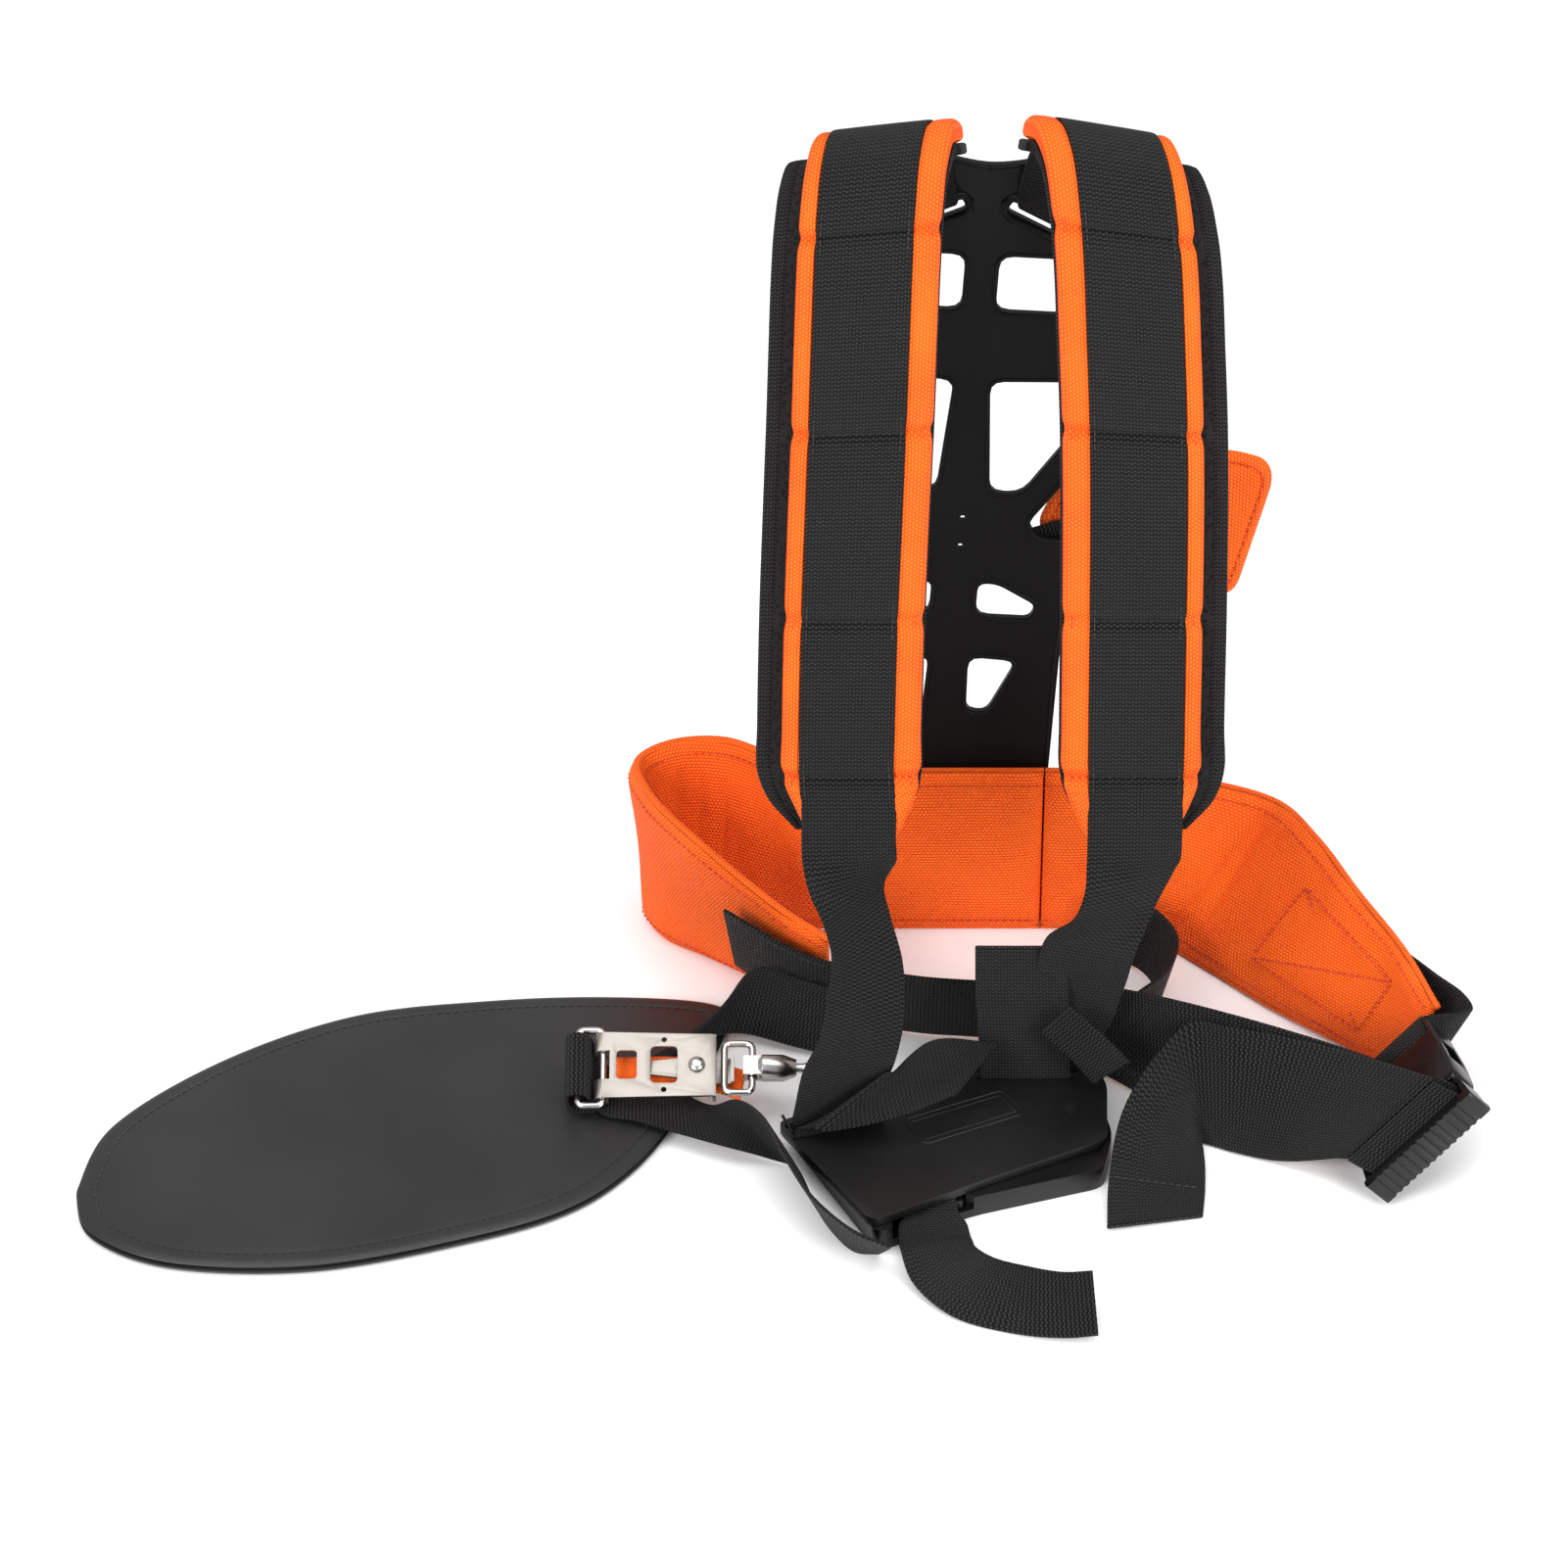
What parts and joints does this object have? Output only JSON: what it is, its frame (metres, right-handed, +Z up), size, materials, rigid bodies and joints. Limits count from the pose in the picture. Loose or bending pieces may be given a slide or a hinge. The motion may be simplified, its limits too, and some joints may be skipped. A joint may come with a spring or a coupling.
{
  "type": "brushcutter harness",
  "caption": "Double-shoulder tool harness with padded straps, rigid back plate, waist belt and buckle, chest plate, and a hip pad with a quick-release swivel snap hook.",
  "frame": {"origin": "on the ground, under the middle of the whole harness as it lies with its shoulder pads standing", "axes": "+Z up, +X along the waist belt from the hip pad to the buckle, -Y the wearer's chest side"},
  "size_m": [0.6112, 0.3448, 0.4361],
  "materials": {
    "orange_nylon": "woven nylon",
    "orange_tape": "woven tape",
    "black_webbing": "ribbed webbing",
    "black_mesh": "spacer mesh",
    "black_plastic": "satin moulded",
    "leatherette": "satin grained",
    "steel": "nickel plated"
  },
  "bodies": {
    "harness": {"load_pad": "orange_nylon", "shoulder_pad_left": "orange_nylon", "shoulder_pad_right": "orange_nylon", "belt_back_panel": "orange_nylon", "belt_pocket": "orange_nylon", "belt_wing_right": "orange_nylon", "belt_wing_left": "orange_nylon", "load_strap": "black_webbing", "shoulder_webbing_left": "black_webbing", "shoulder_webbing_right": "black_webbing", "waist_webbing": "black_webbing", "waist_tail": "black_webbing", "socket_webbing": "black_webbing", "chest_keeper": "black_webbing", "waist_rear_strap": "black_webbing", "hip_strap": "black_webbing", "shoulder_lining_left": "black_mesh", "shoulder_lining_right": "black_mesh", "back_plate": "black_plastic", "buckle_socket": "black_plastic", "chest_plate": "black_plastic", "chest_base": "black_plastic", "hip_pad_backing": "leatherette", "hip_pad": "leatherette"},
    "ring": {"bracket_ring": "steel"},
    "bracket": {"release_bracket": "steel", "lever_rivet": "steel", "release_tape": "orange_tape"},
    "lever": {"release_lever": "steel"},
    "loop": {"wire_loop": "steel"},
    "swivel": {"swivel_barrel": "steel"},
    "hook": {"snap_hook": "steel", "gate_pin": "steel"},
    "gate": {"hook_gate": "steel"},
    "plug": {"buckle_plug": "black_plastic", "waist_webbing_turn": "black_webbing"},
    "prong_left": {"buckle_prong_left": "black_plastic"},
    "prong_right": {"buckle_prong_right": "black_plastic"},
    "chest_release": {"release_tongue": "black_plastic", "chest_strap": "black_webbing"}
  },
  "joints": [
    {"name": "ring_swing", "type": "hinge", "parent": "harness", "child": "ring", "pos_m": [-0.08955, -0.00473, 0.02171], "axis": [0, -0.8829, -0.4695], "range_deg": [0, 3]},
    {"name": "bracket_swing", "type": "hinge", "parent": "ring", "child": "bracket", "pos_m": [-0.07855, -0.00473, 0.02171], "axis": [0, -0.8829, -0.4695], "range_deg": [0, 4]},
    {"name": "lever_turn", "type": "hinge", "parent": "bracket", "child": "lever", "pos_m": [-0.03705, -0.00473, 0.02171], "axis": [0, -0.4695, 0.8829], "range_deg": [-18, 18], "stiffness_Nm_per_rad": 0.02},
    {"name": "loop_swing", "type": "hinge", "parent": "bracket", "child": "loop", "pos_m": [-0.02495, -0.00473, 0.02171], "axis": [0, -0.8829, -0.4695], "range_deg": [0, 5]},
    {"name": "barrel_swing", "type": "hinge", "parent": "loop", "child": "swivel", "pos_m": [-0.01255, -0.00473, 0.02171], "axis": [0, -0.8829, -0.4695], "range_deg": [0, 4]},
    {"name": "hook_swivel", "type": "hinge", "parent": "swivel", "child": "hook", "pos_m": [0.00145, -0.00473, 0.02171], "axis": [1, 0, 0], "continuous": true},
    {"name": "gate_open", "type": "hinge", "parent": "hook", "child": "gate", "pos_m": [0.01645, -0.01426, 0.01664], "axis": [0, -0.4695, 0.8829], "range_deg": [0, 22], "stiffness_Nm_per_rad": 0.02, "springref_deg": -17.19},
    {"name": "buckle_release", "type": "slide", "parent": "harness", "child": "plug", "axis": [0.1882, -0.9815, 0.0348], "range_m": [0, 0.036]},
    {"name": "prong_right_squeeze", "type": "hinge", "parent": "plug", "child": "prong_right", "pos_m": [0.29138, -0.05226, 0.04364], "axis": [-0.6947, -0.108, 0.7111], "range_deg": [0, 5], "stiffness_Nm_per_rad": 0.5, "springref_deg": -5.73},
    {"name": "prong_left_squeeze", "type": "hinge", "parent": "plug", "child": "prong_left", "pos_m": [0.26055, -0.05928, 0.01246], "axis": [-0.6947, -0.108, 0.7111], "range_deg": [-5, 0]},
    {"name": "chest_release_pull", "type": "slide", "parent": "harness", "child": "chest_release", "axis": [0, -1, 0], "range_m": [0, 0.02]}
  ],
  "couplings": [
    {"joint": "prong_left_squeeze", "follows": "prong_right_squeeze", "ratio": -1}
  ]
}
